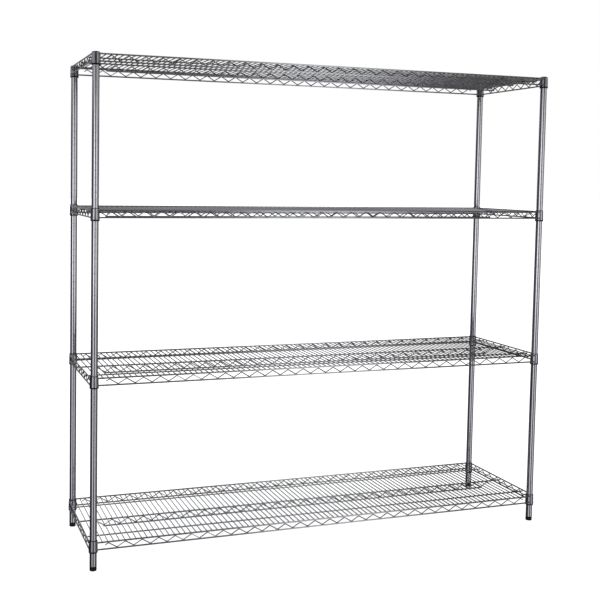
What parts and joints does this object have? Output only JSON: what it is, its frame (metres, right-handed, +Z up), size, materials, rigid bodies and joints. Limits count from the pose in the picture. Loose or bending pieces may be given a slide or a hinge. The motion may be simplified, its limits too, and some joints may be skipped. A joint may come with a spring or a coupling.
{
  "type": "wire shelving rack",
  "caption": "Free-standing rack of welded wire shelves with zigzag-braced edges, held on round grooved posts by tapered collars over split sleeves, on screw-in levelling feet.",
  "frame": {"origin": "on the floor, in the middle of the four feet", "axes": "+X along the shelves to the right, +Y to the back, +Z up"},
  "size_m": [1.8416, 0.4886, 1.814],
  "materials": {
    "post_chrome": "bright chrome-plated steel tube with fine turned rings",
    "wire_chrome": "chrome-plated drawn and welded steel wire",
    "sleeve_black": "moulded black plastic, satin",
    "cap_black": "moulded black plastic, satin",
    "foot_black": "moulded black plastic, glossy",
    "insert_black": "moulded black plastic, matt"
  },
  "bodies": {
    "posts": {"post_front_left": "post_chrome", "post_cap_front_left": "cap_black", "foot_insert_front_left": "insert_black", "post_front_right": "post_chrome", "post_cap_front_right": "cap_black", "foot_insert_front_right": "insert_black", "post_rear_left": "post_chrome", "post_cap_rear_left": "cap_black", "foot_insert_rear_left": "insert_black", "post_rear_right": "post_chrome", "post_cap_rear_right": "cap_black", "foot_insert_rear_right": "insert_black"},
    "sleeves_1": {"sleeve_1_front_left": "sleeve_black", "sleeve_1_front_right": "sleeve_black", "sleeve_1_rear_left": "sleeve_black", "sleeve_1_rear_right": "sleeve_black"},
    "shelf_1": {"shelf_1_deck": "wire_chrome", "shelf_1_centre_truss": "wire_chrome", "shelf_1_front_truss": "wire_chrome", "shelf_1_rear_truss": "wire_chrome", "shelf_1_left_end": "wire_chrome", "shelf_1_right_end": "wire_chrome"},
    "sleeves_2": {"sleeve_2_front_left": "sleeve_black", "sleeve_2_front_right": "sleeve_black", "sleeve_2_rear_left": "sleeve_black", "sleeve_2_rear_right": "sleeve_black"},
    "shelf_2": {"shelf_2_deck": "wire_chrome", "shelf_2_centre_truss": "wire_chrome", "shelf_2_front_truss": "wire_chrome", "shelf_2_rear_truss": "wire_chrome", "shelf_2_left_end": "wire_chrome", "shelf_2_right_end": "wire_chrome"},
    "sleeves_3": {"sleeve_3_front_left": "sleeve_black", "sleeve_3_front_right": "sleeve_black", "sleeve_3_rear_left": "sleeve_black", "sleeve_3_rear_right": "sleeve_black"},
    "shelf_3": {"shelf_3_deck": "wire_chrome", "shelf_3_centre_truss": "wire_chrome", "shelf_3_front_truss": "wire_chrome", "shelf_3_rear_truss": "wire_chrome", "shelf_3_left_end": "wire_chrome", "shelf_3_right_end": "wire_chrome"},
    "sleeves_4": {"sleeve_4_front_left": "sleeve_black", "sleeve_4_front_right": "sleeve_black", "sleeve_4_rear_left": "sleeve_black", "sleeve_4_rear_right": "sleeve_black"},
    "shelf_4": {"shelf_4_deck": "wire_chrome", "shelf_4_centre_truss": "wire_chrome", "shelf_4_front_truss": "wire_chrome", "shelf_4_rear_truss": "wire_chrome", "shelf_4_left_end": "wire_chrome", "shelf_4_right_end": "wire_chrome"},
    "foot_front_left": {"levelling_foot_front_left": "foot_black"},
    "foot_front_right": {"levelling_foot_front_right": "foot_black"},
    "foot_rear_left": {"levelling_foot_rear_left": "foot_black"},
    "foot_rear_right": {"levelling_foot_rear_right": "foot_black"}
  },
  "joints": [
    {"name": "shelf_1_height", "type": "slide", "parent": "posts", "child": "sleeves_1", "axis": [0, 0, 1], "range_m": [-0.0254, 0.2032]},
    {"name": "shelf_1_lift_off", "type": "slide", "parent": "sleeves_1", "child": "shelf_1", "axis": [0, 0, 1], "range_m": [0, 0.045]},
    {"name": "shelf_2_height", "type": "slide", "parent": "posts", "child": "sleeves_2", "axis": [0, 0, 1], "range_m": [-0.254, 0.2032]},
    {"name": "shelf_2_lift_off", "type": "slide", "parent": "sleeves_2", "child": "shelf_2", "axis": [0, 0, 1], "range_m": [0, 0.045]},
    {"name": "shelf_3_height", "type": "slide", "parent": "posts", "child": "sleeves_3", "axis": [0, 0, 1], "range_m": [-0.254, 0.2032]},
    {"name": "shelf_3_lift_off", "type": "slide", "parent": "sleeves_3", "child": "shelf_3", "axis": [0, 0, 1], "range_m": [0, 0.045]},
    {"name": "shelf_4_height", "type": "slide", "parent": "posts", "child": "sleeves_4", "axis": [0, 0, 1], "range_m": [-0.2032, 0]},
    {"name": "shelf_4_lift_off", "type": "slide", "parent": "sleeves_4", "child": "shelf_4", "axis": [0, 0, 1], "range_m": [0, 0.045]},
    {"name": "foot_front_left_screw", "type": "slide", "parent": "posts", "child": "foot_front_left", "axis": [0, 0, -1], "range_m": [0, 0.02]},
    {"name": "foot_front_right_screw", "type": "slide", "parent": "posts", "child": "foot_front_right", "axis": [0, 0, -1], "range_m": [0, 0.02]},
    {"name": "foot_rear_left_screw", "type": "slide", "parent": "posts", "child": "foot_rear_left", "axis": [0, 0, -1], "range_m": [0, 0.02]},
    {"name": "foot_rear_right_screw", "type": "slide", "parent": "posts", "child": "foot_rear_right", "axis": [0, 0, -1], "range_m": [0, 0.02]}
  ]
}
